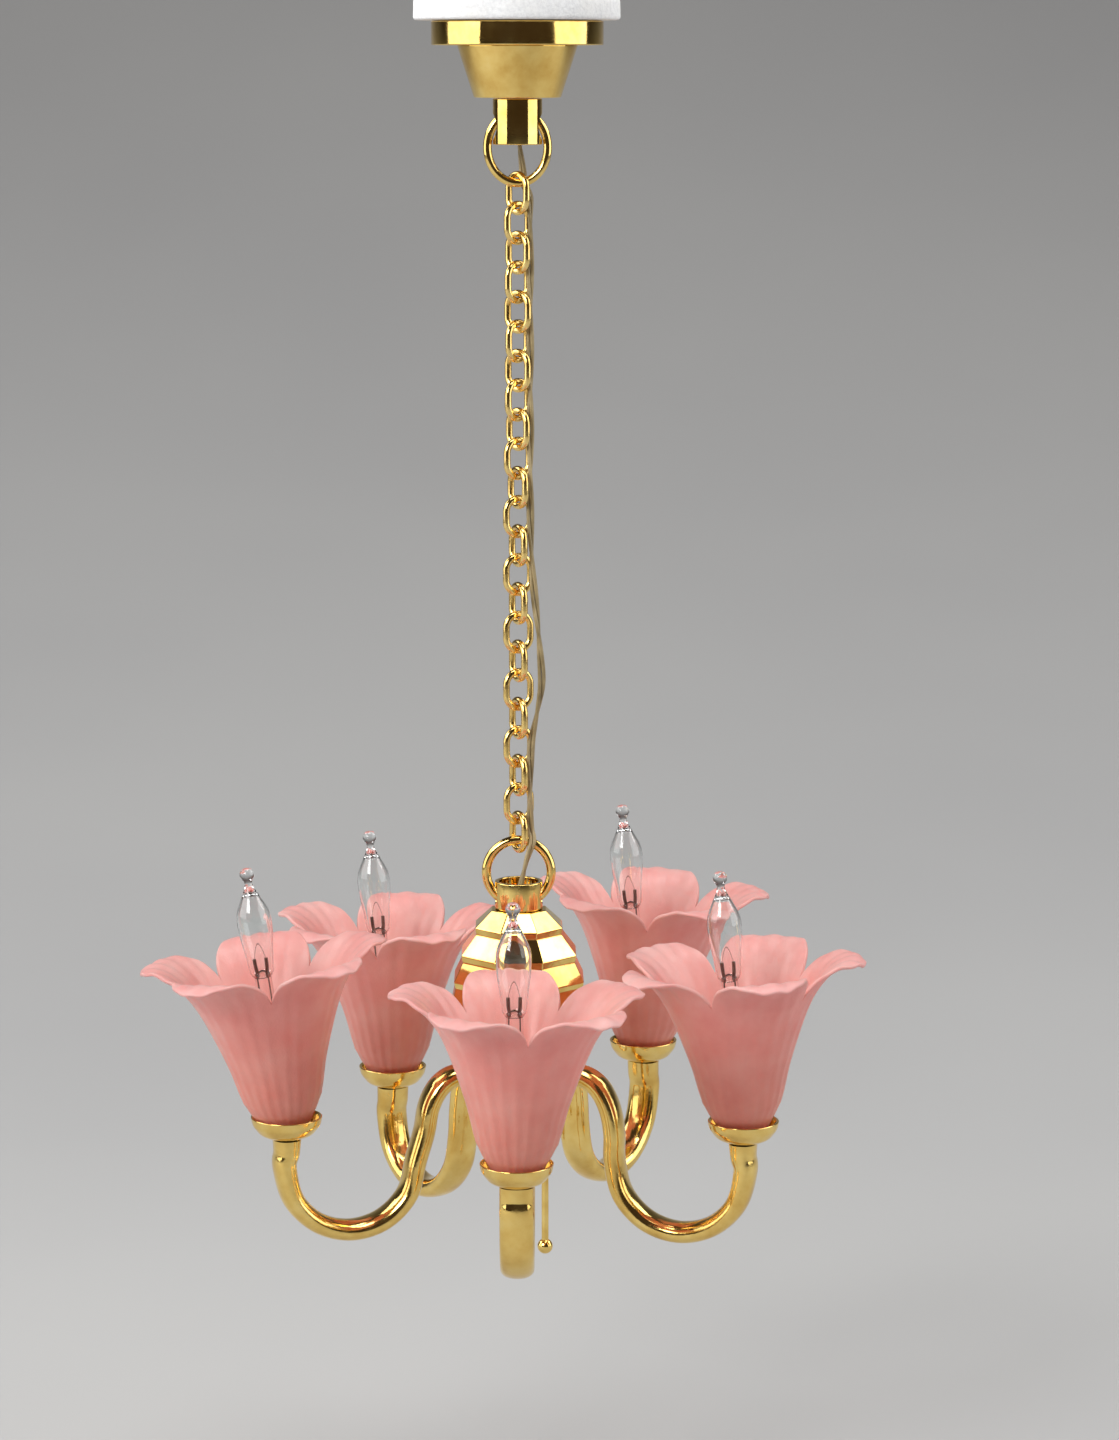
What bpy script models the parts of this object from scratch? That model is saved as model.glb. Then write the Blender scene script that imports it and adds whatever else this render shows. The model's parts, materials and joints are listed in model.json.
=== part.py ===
"""Five-arm miniature chandelier: ceiling rose, chain, faceted body, arms, cups, petal shades and bulbs.

Metres, +Z up. The origin is the middle of the ceiling face, the top of the adhesive pad.
"""

import math

import bmesh
import bpy
from mathutils import Matrix, Vector

MM = 0.001
JOIN_GAP = 0.06  # clearance between pieces that touch, mm

# ceiling rose, heights in mm below the ceiling face
PAD_RADIUS = 9.7
PAD_DEPTH = 2.0
RIM_RADIUS = 8.0
RIM_BOTTOM = -4.3
BELL_TOP_RADIUS = 5.65
BELL_BOTTOM_RADIUS = 4.05
BELL_BOTTOM = -9.1
NECK_RADIUS = 2.3
NECK_BORE = 1.9
ROSE_NECK_BOTTOM = -13.4
ROSE_HOLE_Z = -11.76
ROSE_HOLE_RADIUS = 1.25

# rings and chain
TOP_RING_WIRE = 0.8
TOP_RING_HALF_WIDTH = 2.8
TOP_RING_HALF_HEIGHT = 3.3
TOP_RING_Z = -13.65
BOTTOM_RING_WIRE = 0.9
BOTTOM_RING_RADIUS = 3.1
BOTTOM_RING_Z = -82.35
CHAIN_LINKS = 23
LINK_WIRE = 0.65
LINK_WIDTH = 3.2
LINK_POINTS = 14
RING_POINTS = 24
LINK_GAP = 0.08
CHAIN_TOP = TOP_RING_Z - TOP_RING_HALF_HEIGHT + TOP_RING_WIRE / 2.0 + LINK_GAP
CHAIN_BOTTOM = BOTTOM_RING_Z + BOTTOM_RING_RADIUS - BOTTOM_RING_WIRE / 2.0 - LINK_GAP
CHAIN_PITCH = (CHAIN_TOP - CHAIN_BOTTOM) / CHAIN_LINKS
TWISTED_LINKS = (40, 41, 42, 45, 48, 48, 46, 44, 40, 36, 32, 29)  # turn of the first links, degrees
EVEN_TWIST = 27  # turn of all the links below them

# body
BODY_NECK_TOP = -83.2
BODY_NECK_BOTTOM = -85.84
BODY_HOLE_Z = -84.5
BODY_HOLE_RADIUS = 1.0
BODY_SIDES = 8
BODY_ROWS = (
    (-85.9, 2.8),
    (-87.5, 4.55),
    (-88.5, 5.1),
    (-90.3, 6.25),
    (-91.2, 6.55),
    (-93.2, 7.05),
    (-95.2, 7.05),
    (-97.6, 6.4),
    (-99.5, 5.2),
    (-100.85, 3.4),
)
HUB_RADIUS = 3.0
HUB_TOP = -100.91
HUB_BOTTOM = -104.4
FINIAL_OFFSET = 2.5
FINIAL_LENGTH = 15.0
FINIAL_PIN_RADIUS = 0.35
FINIAL_BALL_RADIUS = 0.75
FINIAL_BALL_STEPS = 6

# arms: name, direction in degrees, reach, rise at the cup, lean of shade, lean of bulb, turn of the petals
ARMS = (
    ("front", -90.6, 22.6, 0.25, 1.0, -0.7, 42.0),
    ("right", -18.0, 22.4, 0.0, -2.5, -5.5, 14.0),
    ("rear_right", 56.2, 22.6, 1.6, 3.0, -5.0, 31.0),
    ("rear_left", 124.5, 22.6, -1.0, -1.0, -5.0, 28.0),
    ("left", -162.0, 23.2, 0.6, -6.7, -8.0, 42.0),
)
CUP_BOTTOM = -107.1
CUP_OUTSIDE = ((3.4, 2.05), (3.25, 1.25), (2.6, 0.4), (1.7, -0.02), (1.0, -0.1), (0.0, -0.1))
CUP_INSIDE = ((0.0, 0.3), (1.9, 0.4), (2.8, 1.1), (3.15, 2.05))
ARM_START = 3.12
ARM_CREST = (
    (ARM_START, -103.0, 0.85),
    (4.6, -102.1, 0.95),
    (6.4, -101.95, 1.0),
    (8.0, -102.9, 1.0),
    (9.1, -104.8, 1.0),
    (9.6, -107.3, 1.0),
)
ARM_HALF_WIDTH = 1.6
BEND_RADIUS = 6.5
BEND_INSET = 6.25  # the middle of the lower bend, inward from the cup's axis
BEND_Z = -110.1
BEND_STEPS = 6
LAMP_PIVOT = 0.8  # height above the cup bottom that shade, socket and bulb lean about

# shade
SHADE_WALL = 0.45
PETALS = 5
SHADE_SEGMENTS = 30
SHADE_BELL = ((2.25, 0.5), (2.55, 0.85), (2.78, 1.35), (3.1, 1.85), (3.9, 3.7), (4.65, 6.6), (5.7, 9.7))
SHADE_FLARE = ((6.6, 12.0), (7.6, 13.9), (8.9, 15.5), (10.2, 16.3), (11.2, 16.4), (11.9, 16.0))
FLARE_ROWS = 6
PETAL_ROUNDNESS = 0.75
NOTCH_REACH = 0.18  # how far up the flare the notch between two petals reaches

# socket and bulb, heights above the lean point
SOCKET_RADIUS = 1.7
SOCKET_BORE = 1.0
SOCKET_TOP = 10.8
BULB_PROFILE = (
    (0.0, 25.5),
    (0.5, 25.3),
    (0.7, 24.8),
    (0.5, 24.3),
    (0.45, 23.9),
    (1.1, 22.7),
    (1.8, 20.8),
    (1.8, 19.6),
    (1.35, 16.9),
    (1.25, 15.6),
    (0.8, 15.2),
    (0.8, 7.8),
    (0.0, 7.8),
)

# supply wire: it follows the corner between crossed links, and bulges away from them low on the chain
WIRE_RADIUS = 0.38
WIRE_OFFSET = 1.16
WIRE_QUADRANT = -45.0
WIRE_TOP = ((0.0, 1.2, -9.6), (0.1, 1.2, -12.5), (0.45, 1.05, -15.5), (0.6, 0.95, -17.0), (1.1, 0.4, -18.2))
WIRE_END = ((1.3, -0.9, -79.2), (0.7, -1.2, -81.2), (0.1, -1.2, -84.0), (0.0, -1.2, -85.8))
BULGE = 1.15
BULGE_PLACE = 0.74
BULGE_ABOVE = 0.14
BULGE_BELOW = 0.06

BRASS = (0.95, 0.68, 0.26, 1.0)
PINK = (0.86, 0.50, 0.48, 1.0)


def material(name, colour, roughness, metallic, alpha=1.0):
    made = bpy.data.materials.new(name)
    made.use_nodes = True
    shader = made.node_tree.nodes["Principled BSDF"]
    shader.inputs["Base Color"].default_value = colour
    shader.inputs["Roughness"].default_value = roughness
    shader.inputs["Metallic"].default_value = metallic
    shader.inputs["Alpha"].default_value = alpha
    return made


def add_object(name, mesh, mat, smooth=True):
    mesh.materials.clear()
    mesh.materials.append(mat)
    for face in mesh.polygons:
        face.use_smooth = smooth
    made = bpy.data.objects.new(name, mesh)
    parts.objects.link(made)
    return made


def turned(name, profile, steps, mat):
    """A turned piece: the profile (radius, height) runs down its outer side and back up inside."""
    mesh = bpy.data.meshes.new(name)
    points = [(r * MM, 0.0, z * MM) for r, z in profile]
    edges = [(i, i + 1) for i in range(len(points) - 1)]
    if profile[0][0] > 0.0:
        edges.append((len(points) - 1, 0))
    mesh.from_pydata(points, edges, [])
    made = add_object(name, mesh, mat)
    screw = made.modifiers.new("turn", "SCREW")
    screw.axis = "Z"
    screw.angle = math.tau
    screw.steps = steps
    screw.render_steps = steps
    screw.use_merge_vertices = True
    screw.merge_threshold = 0.000001
    screw.use_smooth_shade = True
    return made


def disc_profile(radius, top, bottom):
    return [(0.0, top), (radius, top), (radius, bottom), (0.0, bottom)]


def tube_profile(outer, inner, top, bottom):
    return [(outer, top), (outer, bottom), (inner, bottom), (inner, top)]


def lofted_bar(name, stations, sides):
    """A bar lofted through stations of (middle, half axis, other half axis), with flat ends."""
    mesh = bpy.data.meshes.new(name)
    bm = bmesh.new()
    rings = []
    for middle, across, sideways in stations:
        ring = []
        for k in range(sides):
            turn = math.tau * k / sides
            ring.append(bm.verts.new(middle + across * math.cos(turn) + sideways * math.sin(turn)))
        rings.append(ring)
    for ring, after in zip(rings, rings[1:]):
        for k in range(sides):
            k_next = (k + 1) % sides
            bm.faces.new((ring[k], ring[k_next], after[k_next], after[k]))
    bm.faces.new(rings[0])
    bm.faces.new(rings[-1])
    bmesh.ops.recalc_face_normals(bm, faces=bm.faces)
    bm.to_mesh(mesh)
    bm.free()
    return mesh


def wire_curve(name, points, radius, resolution, cyclic):
    """A round wire through points given in mm."""
    curve = bpy.data.curves.new(name, "CURVE")
    curve.dimensions = "3D"
    curve.bevel_depth = radius * MM
    curve.bevel_resolution = resolution
    curve.use_fill_caps = not cyclic
    spline = curve.splines.new("POLY")
    spline.points.add(len(points) - 1)
    for point, place in zip(spline.points, points):
        point.co = (place[0] * MM, place[1] * MM, place[2] * MM, 1.0)
    spline.use_cyclic_u = cyclic
    spline.use_smooth = True
    return curve


def add_wire(name, curve, mat):
    if not curve.materials:
        curve.materials.append(mat)
    made = bpy.data.objects.new(name, curve)
    parts.objects.link(made)
    return made


def oval_points(half_width, half_height, straight, count, drop):
    """A closed oval in the XZ plane, its middle at height drop and its sides straight for a stretch."""
    points = []
    for k in range(count):
        turn = math.tau * (k + 0.5) / count
        shift = math.copysign(straight / 2.0, math.sin(turn))
        points.append((half_width * math.cos(turn), 0.0, half_height * math.sin(turn) + shift + drop))
    return points


def drill(target, radius, height):
    """A hole through the neck along X."""
    mesh = bpy.data.meshes.new(target.name + "_cutter")
    bm = bmesh.new()
    bmesh.ops.create_cone(
        bm,
        cap_ends=True,
        segments=16,
        radius1=radius * MM,
        radius2=radius * MM,
        depth=8.0 * MM,
        matrix=Matrix.Translation((0.0, 0.0, height * MM)) @ Matrix.Rotation(math.pi / 2.0, 4, "Y"),
    )
    bm.to_mesh(mesh)
    bm.free()
    cutter = bpy.data.objects.new(target.name + "_cutter", mesh)
    cutter.display_type = "WIRE"
    cutter.hide_render = True
    cutters.objects.link(cutter)
    cut = target.modifiers.new("drill", "BOOLEAN")
    cut.operation = "DIFFERENCE"
    cut.solver = "EXACT"
    cut.object = cutter


def rose():
    """The white pad, the rim, the bell and the drilled neck."""
    turned("ceiling_pad", disc_profile(PAD_RADIUS, 0.0, -PAD_DEPTH), 40, foam)
    turned("rose_rim", disc_profile(RIM_RADIUS, -PAD_DEPTH - JOIN_GAP, RIM_BOTTOM), 40, brass)
    bell_top = RIM_BOTTOM - JOIN_GAP
    turned(
        "rose_bell",
        [
            (0.0, bell_top),
            (BELL_TOP_RADIUS, bell_top),
            (BELL_BOTTOM_RADIUS, BELL_BOTTOM),
            (0.0, BELL_BOTTOM),
        ],
        32,
        brass,
    )
    profile = tube_profile(NECK_RADIUS, NECK_BORE, BELL_BOTTOM - JOIN_GAP, ROSE_NECK_BOTTOM)
    neck = turned("rose_neck", profile, 24, brass)
    drill(neck, ROSE_HOLE_RADIUS, ROSE_HOLE_Z)


def twist_of(k):
    return TWISTED_LINKS[k] if k < len(TWISTED_LINKS) else EVEN_TWIST


def link_turn(k):
    """The turn of link k about the chain: every second link is crossed, and the first ones are twisted."""
    return math.radians(twist_of(k) + (90 if k % 2 == 0 else 0))


def chain():
    """Both rings and the links, each with its origin where it hinges."""
    drop = TOP_RING_Z - ROSE_HOLE_Z
    points = oval_points(TOP_RING_HALF_WIDTH, TOP_RING_HALF_HEIGHT, 0.0, RING_POINTS, drop)
    ring = add_wire("top_ring", wire_curve("top_ring", points, TOP_RING_WIRE / 2.0, 2, True), brass)
    ring.location.z = ROSE_HOLE_Z * MM
    height = CHAIN_PITCH + LINK_WIRE * 2.0 + LINK_GAP
    bend = (LINK_WIDTH - LINK_WIRE) / 2.0
    straight = height - LINK_WIRE - bend * 2.0
    points = oval_points(bend, bend, straight, LINK_POINTS, -(height - LINK_WIRE) / 2.0)
    curve = wire_curve("chain_link", points, LINK_WIRE / 2.0, 1, True)
    for k in range(CHAIN_LINKS):
        link = add_wire("chain_link_" + str(k + 1).zfill(2), curve, brass)
        link.location.z = (CHAIN_TOP + LINK_WIRE / 2.0 - k * CHAIN_PITCH) * MM
        link.rotation_euler.z = link_turn(k)
    points = oval_points(BOTTOM_RING_RADIUS, BOTTOM_RING_RADIUS, 0.0, RING_POINTS, -BOTTOM_RING_RADIUS)
    ring = add_wire("bottom_ring", wire_curve("bottom_ring", points, BOTTOM_RING_WIRE / 2.0, 2, True), brass)
    ring.location.z = (BOTTOM_RING_Z + BOTTOM_RING_RADIUS) * MM


def faceted_ball():
    """Flat facets in eight columns, sloped tiers between steep ones, like a cut stone."""
    mesh = bpy.data.meshes.new("faceted_body")
    bm = bmesh.new()
    rows = []
    for z, r in BODY_ROWS:
        row = []
        for k in range(BODY_SIDES):
            turn = math.tau * (k + 0.5) / BODY_SIDES
            row.append(bm.verts.new((r * MM * math.cos(turn), r * MM * math.sin(turn), z * MM)))
        rows.append(row)
    bm.faces.new(rows[0])
    bm.faces.new(rows[-1])
    for upper, lower in zip(rows, rows[1:]):
        for k in range(BODY_SIDES):
            k_next = (k + 1) % BODY_SIDES
            bm.faces.new((upper[k], upper[k_next], lower[k_next], lower[k]))
    bmesh.ops.recalc_face_normals(bm, faces=bm.faces)
    bm.to_mesh(mesh)
    bm.free()
    return add_object("faceted_body", mesh, brass, smooth=False)


def ball_finial():
    """A thin pin under the hub with a ball at its end."""
    middle = -FINIAL_LENGTH
    profile = [(0.0, 0.0), (FINIAL_PIN_RADIUS, 0.0)]
    start = math.asin(FINIAL_PIN_RADIUS / FINIAL_BALL_RADIUS)
    for k in range(FINIAL_BALL_STEPS):
        turn = start + (math.pi - start) * k / FINIAL_BALL_STEPS
        profile.append((FINIAL_BALL_RADIUS * math.sin(turn), middle + FINIAL_BALL_RADIUS * math.cos(turn)))
    profile.append((0.0, middle - FINIAL_BALL_RADIUS))
    pin = turned("ball_finial", profile, 12, brass)
    pin.location = (FINIAL_OFFSET * MM, 0.0, (HUB_BOTTOM - JOIN_GAP) * MM)
    return pin


def body():
    """The drilled neck, the faceted ball, the hub and the ball-ended pin."""
    profile = tube_profile(NECK_RADIUS, NECK_BORE, BODY_NECK_TOP, BODY_NECK_BOTTOM)
    neck = turned("body_neck", profile, 24, brass)
    drill(neck, BODY_HOLE_RADIUS, BODY_HOLE_Z)
    hub = turned("arm_hub", disc_profile(HUB_RADIUS, HUB_TOP, HUB_BOTTOM), 24, brass)
    return [neck, faceted_ball(), hub, ball_finial()]


def arm_path(reach, rise):
    """Stations of an arm as (distance out, height, half thickness) from the hub to the cup."""
    path = list(ARM_CREST)
    centre = reach - BEND_INSET
    for k in range(BEND_STEPS + 1):
        turn = math.pi * (1.0 + k / BEND_STEPS)
        r = centre + BEND_RADIUS * math.cos(turn)
        z = BEND_Z + BEND_RADIUS * math.sin(turn)
        path.append((r, z, 1.0 + 0.24 * k / BEND_STEPS))
    path.append((reach + 0.05, -108.6, 1.35))
    path.append((reach, CUP_BOTTOM - 0.16, 1.35))
    return [(r, z + rise * (r - ARM_START) / (reach - ARM_START), thick) for r, z, thick in path]


def arm(name, direction, reach, rise):
    """An arched and bent arm, a flat oval in section, thicker towards its cup."""
    path = arm_path(reach, rise)
    outward = Vector((math.cos(direction), math.sin(direction), 0.0))
    sideways = Vector((-math.sin(direction), math.cos(direction), 0.0))
    upward = Vector((0.0, 0.0, 1.0))
    stations = []
    for n, (r, z, thick) in enumerate(path):
        before = path[max(n - 1, 0)]
        after = path[min(n + 1, len(path) - 1)]
        along = outward * (after[0] - before[0]) + upward * (after[1] - before[1])
        if n == 0:
            along = outward
        if n == len(path) - 1:
            along = upward
        across = along.cross(sideways).normalized()
        middle = outward * r + upward * z
        stations.append((middle * MM, across * thick * MM, sideways * ARM_HALF_WIDTH * MM))
    return add_object("arm_" + name, lofted_bar("arm_" + name, stations, 8), brass)


def flare_point(reach):
    """The flared part's radius and height a share of the way from the bell to a petal's tip."""
    place = min(reach, 0.9999) * (len(SHADE_FLARE) - 1)
    n = int(place)
    part = place - n
    low = SHADE_FLARE[n]
    high = SHADE_FLARE[n + 1]
    return low[0] + (high[0] - low[0]) * part, low[1] + (high[1] - low[1]) * part


def shade_mesh():
    """The outside of a bell with five flared petals, open at the base for the socket."""
    mesh = bpy.data.meshes.new("petal_shade")
    bm = bmesh.new()
    columns = []
    for k in range(SHADE_SEGMENTS):
        turn = math.tau * k / SHADE_SEGMENTS
        petal = abs(math.cos(PETALS * turn / 2.0)) ** PETAL_ROUNDNESS
        tip = NOTCH_REACH + (1.0 - NOTCH_REACH) * petal
        outline = list(SHADE_BELL)
        for n in range(FLARE_ROWS):
            outline.append(flare_point(tip * n / (FLARE_ROWS - 1)))
        outward = Vector((math.cos(turn), math.sin(turn), 0.0))
        columns.append([bm.verts.new((outward * r + Vector((0.0, 0.0, z))) * MM) for r, z in outline])
    for k, column in enumerate(columns):
        after = columns[(k + 1) % SHADE_SEGMENTS]
        for n in range(len(column) - 1):
            bm.faces.new((column[n], after[n], after[n + 1], column[n + 1]))
    bm.to_mesh(mesh)
    bm.free()
    return mesh


def shade(name, petals):
    made = add_object("shade_" + name, petals, frosted)
    wall = made.modifiers.new("wall", "SOLIDIFY")
    wall.thickness = SHADE_WALL * MM
    wall.offset = -1.0
    return made


def lamps():
    """Arm, cup, socket, shade and bulb in each of the five places."""
    petals = shade_mesh()
    pieces = []
    for name, degrees, reach, rise, shade_lean, bulb_lean, petal_turn in ARMS:
        direction = math.radians(degrees)
        place = Vector((reach * math.cos(direction), reach * math.sin(direction), CUP_BOTTOM + rise))
        pivot = (place + Vector((0.0, 0.0, LAMP_PIVOT))) * MM
        cup = turned("cup_" + name, CUP_INSIDE + CUP_OUTSIDE, 20, brass)
        cup.location = place * MM
        profile = tube_profile(SOCKET_RADIUS, SOCKET_BORE, SOCKET_TOP, JOIN_GAP)
        socket = turned("socket_" + name, profile, 16, ivory)
        bulb = turned("bulb_" + name, BULB_PROFILE, 12, glass)
        for upright in (socket, bulb):
            upright.location = pivot
            upright.rotation_euler.y = math.radians(bulb_lean)
        flower = shade(name, petals)
        flower.location = pivot
        lean = Matrix.Rotation(math.radians(shade_lean), 3, "Y")
        turn = Matrix.Rotation(math.radians(petal_turn - 90.0), 3, "Z")
        flower.rotation_euler = (lean @ turn).to_euler()
        pieces.extend((arm(name, direction, reach, rise), cup, socket, bulb, flower))
    return pieces


def wire_route():
    """Points of the supply wire, from the rose's neck to the body's neck, in mm."""
    route = list(WIRE_TOP)
    for k in range(1, CHAIN_LINKS):
        turn = math.radians(WIRE_QUADRANT + twist_of(k))
        share = k / CHAIN_LINKS
        spread = BULGE_ABOVE if share < BULGE_PLACE else BULGE_BELOW
        away = WIRE_OFFSET + BULGE * math.exp(-(((share - BULGE_PLACE) / spread) ** 2))
        height = CHAIN_TOP - (k + 0.3) * CHAIN_PITCH
        route.append((away * math.cos(turn), away * math.sin(turn), height))
    route.extend(WIRE_END)
    return [Vector(point) for point in route]


def smooth_route(route):
    """A smooth curve through the route's points, with two steps to each stretch."""
    points = []
    for n in range(len(route) - 1):
        before = route[max(n - 1, 0)]
        start = route[n]
        end = route[n + 1]
        after = route[min(n + 2, len(route) - 1)]
        points.append(start)
        points.append((start + end) * 0.5625 - (before + after) * 0.0625)
    points.append(route[-1])
    return points


def supply_wire():
    points = smooth_route(wire_route())
    add_wire("supply_wire", wire_curve("supply_wire", points, WIRE_RADIUS, 1, False), insulation)


def hang_on_joint(name, height, pieces):
    """Parents pieces that swing together to an empty on their joint's axis."""
    joint = bpy.data.objects.new(name, None)
    joint.location.z = height * MM
    parts.objects.link(joint)
    bpy.context.view_layer.update()
    for piece in pieces:
        piece.parent = joint
        piece.matrix_parent_inverse = joint.matrix_world.inverted()


for old in list(bpy.data.objects):
    bpy.data.objects.remove(old)
parts = bpy.data.collections.new("miniature_chandelier")
cutters = bpy.data.collections.new("cutters")
bpy.context.scene.collection.children.link(parts)
bpy.context.scene.collection.children.link(cutters)
cutters.hide_render = True

brass = material("polished_gold_brass", BRASS, 0.15, 1.0)
frosted = material("frosted_pink_acrylic", PINK, 0.5, 0.0)
glass = material("clear_glass", (0.92, 0.94, 0.94, 1.0), 0.05, 0.0, 0.5)
foam = material("white_adhesive_foam", (0.83, 0.83, 0.84, 1.0), 0.85, 0.0)
insulation = material("olive_wire_enamel", (0.33, 0.34, 0.27, 1.0), 0.45, 0.0)
ivory = material("ivory_socket_plastic", (0.85, 0.72, 0.62, 1.0), 0.5, 0.0)

rose()
chain()
hang_on_joint("lamp_swing", BODY_HOLE_Z, body() + lamps())
supply_wire()
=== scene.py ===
"""Looks of the five-arm miniature chandelier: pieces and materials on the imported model's bodies."""

import json
import math

import bmesh
import bpy
from mathutils import Matrix, Vector


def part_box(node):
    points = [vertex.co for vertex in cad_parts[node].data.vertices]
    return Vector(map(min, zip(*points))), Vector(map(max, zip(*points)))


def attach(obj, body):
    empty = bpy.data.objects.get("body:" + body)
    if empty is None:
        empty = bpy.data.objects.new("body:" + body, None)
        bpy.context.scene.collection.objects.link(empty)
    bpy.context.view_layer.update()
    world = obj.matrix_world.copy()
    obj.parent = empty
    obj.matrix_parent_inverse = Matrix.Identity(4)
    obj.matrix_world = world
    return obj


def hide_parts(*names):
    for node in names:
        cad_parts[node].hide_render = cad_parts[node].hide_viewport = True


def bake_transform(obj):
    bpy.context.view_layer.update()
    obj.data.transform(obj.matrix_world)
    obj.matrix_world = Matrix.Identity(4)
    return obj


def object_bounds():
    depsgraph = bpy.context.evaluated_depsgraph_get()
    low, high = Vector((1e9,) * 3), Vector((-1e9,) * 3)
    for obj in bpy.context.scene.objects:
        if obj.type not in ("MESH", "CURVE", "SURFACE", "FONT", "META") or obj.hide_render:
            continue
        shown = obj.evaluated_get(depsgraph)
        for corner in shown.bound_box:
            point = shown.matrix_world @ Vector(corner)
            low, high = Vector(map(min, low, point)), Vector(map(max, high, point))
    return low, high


MM = 0.001  # lengths below are in mm unless a comment says otherwise
UP = Vector((0.0, 0.0, 1.0))
ON_AXIS = 1e-5  # a profile point nearer to the axis than this is on it
SEAM = 0.001  # the gap that lets a closed profile start and end in the middle of a bore
LONGEST_CUT = 0.45  # the most of an edge that rounding a corner takes
TINY_CUT = 1e-4  # a corner with less room than this stays sharp
DRILL_LENGTH = 8.0
RIPPLE_SHIFT = 1.7  # radians, so that the waves of a ripple don't all start together
NAMES = ("front", "right", "rear_right", "rear_left", "left")

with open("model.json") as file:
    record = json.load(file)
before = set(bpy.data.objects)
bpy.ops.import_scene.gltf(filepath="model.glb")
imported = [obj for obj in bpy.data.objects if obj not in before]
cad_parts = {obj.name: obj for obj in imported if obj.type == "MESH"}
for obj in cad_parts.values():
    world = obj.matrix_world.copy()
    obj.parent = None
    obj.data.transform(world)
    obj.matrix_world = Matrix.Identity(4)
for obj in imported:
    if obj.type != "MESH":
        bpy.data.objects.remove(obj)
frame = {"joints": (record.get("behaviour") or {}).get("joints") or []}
cad_low, cad_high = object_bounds()
JOINTS = {joint["name"]: joint for joint in frame["joints"]}


# ---------------------------------------------------------------- geometry helpers


def centre_of(node):
    """The middle of a node's box, in metres."""
    low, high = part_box(node)
    return (low + high) / 2.0


def round_size(node):
    """A round node's radius, and the heights of its top and bottom, in mm."""
    low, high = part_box(node)
    return (high.x - low.x) / 2.0 / MM, high.z / MM, low.z / MM


def link_object(name, data):
    """A new object in the scene."""
    thing = bpy.data.objects.new(name, data)
    bpy.context.scene.collection.objects.link(thing)
    return thing


def finished_mesh(bm, name, face_outward=True):
    """The mesh of a bmesh, which is freed."""
    if face_outward:
        bmesh.ops.recalc_face_normals(bm, faces=bm.faces)
    mesh = bpy.data.meshes.new(name)
    bm.to_mesh(mesh)
    bm.free()
    return mesh


def add_skin(bm, rings, wrap_rows=False):
    """Faces from each closed ring of vertices to the next."""
    count = len(rings[0])
    pairs = list(zip(rings, rings[1:]))
    if wrap_rows:
        pairs.append((rings[-1], rings[0]))
    for ring, after in pairs:
        for k in range(count):
            k_next = (k + 1) % count
            bm.faces.new((ring[k], ring[k_next], after[k_next], after[k]))


def mesh_from_rows(name, rows, wrap_rows=False):
    """A skin over rows of points, each row a closed ring, with capped or joined ends."""
    bm = bmesh.new()
    rings = [[bm.verts.new(point) for point in row] for row in rows]
    add_skin(bm, rings, wrap_rows)
    if not wrap_rows:
        bm.faces.new(rings[0])
        bm.faces.new(rings[-1])
    return finished_mesh(bm, name)


def add_piece(name, mesh, mat, body, slot, nodes=(), place=None, turn=None, sharp=40.0):
    """Makes the mesh a piece that rides on a body and stands for CAD nodes."""
    piece = link_object(name, mesh)
    if not mesh.materials:
        mesh.materials.append(mat)
        mesh.shade_smooth()
        if sharp:
            mesh.set_sharp_from_angle(angle=math.radians(sharp))
    if turn is not None:
        piece.rotation_euler = turn.to_euler()
    if place is not None:
        piece.location = place
    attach(piece, body)
    if nodes:
        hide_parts(*nodes)
    return piece


def rounded(profile, radius, steps=4):
    """A profile of (radius, height) in mm with every corner but its two ends rounded off."""
    points = [profile[0]]
    for before, corner, after in zip(profile, profile[1:], profile[2:]):
        here = Vector(corner)
        to_before = Vector(before) - here
        to_after = Vector(after) - here
        cut = min(radius, to_before.length * LONGEST_CUT, to_after.length * LONGEST_CUT)
        if cut < TINY_CUT:
            points.append(tuple(here))
            continue
        start = here + to_before.normalized() * cut
        end = here + to_after.normalized() * cut
        for k in range(steps + 1):
            part = k / steps
            curve = start * (1 - part) ** 2 + here * 2 * part * (1 - part) + end * part**2
            points.append(tuple(curve))
    points.append(profile[-1])
    return points


def turned_mesh(name, profile, segments, waviness=None):
    """A profile of (radius, height) in mm turned about Z: fans close ends that are on the axis."""
    bm = bmesh.new()
    rows = []
    for r, z in profile:
        if r < ON_AXIS:
            rows.append([bm.verts.new((0.0, 0.0, z * MM))])
            continue
        row = []
        for k in range(segments):
            turn = math.tau * k / segments
            reach = r * MM * (waviness(turn) if waviness else 1.0)
            row.append(bm.verts.new((reach * math.cos(turn), reach * math.sin(turn), z * MM)))
        rows.append(row)
    pairs = list(zip(rows, rows[1:]))
    if profile[0][0] > ON_AXIS:
        pairs.append((rows[-1], rows[0]))
    for row, after in pairs:
        for k in range(segments):
            k_next = (k + 1) % segments
            if len(row) == 1:
                bm.faces.new((row[0], after[k], after[k_next]))
            elif len(after) == 1:
                bm.faces.new((row[k], row[k_next], after[0]))
            else:
                bm.faces.new((row[k], row[k_next], after[k_next], after[k]))
    return finished_mesh(bm, name)


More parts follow.
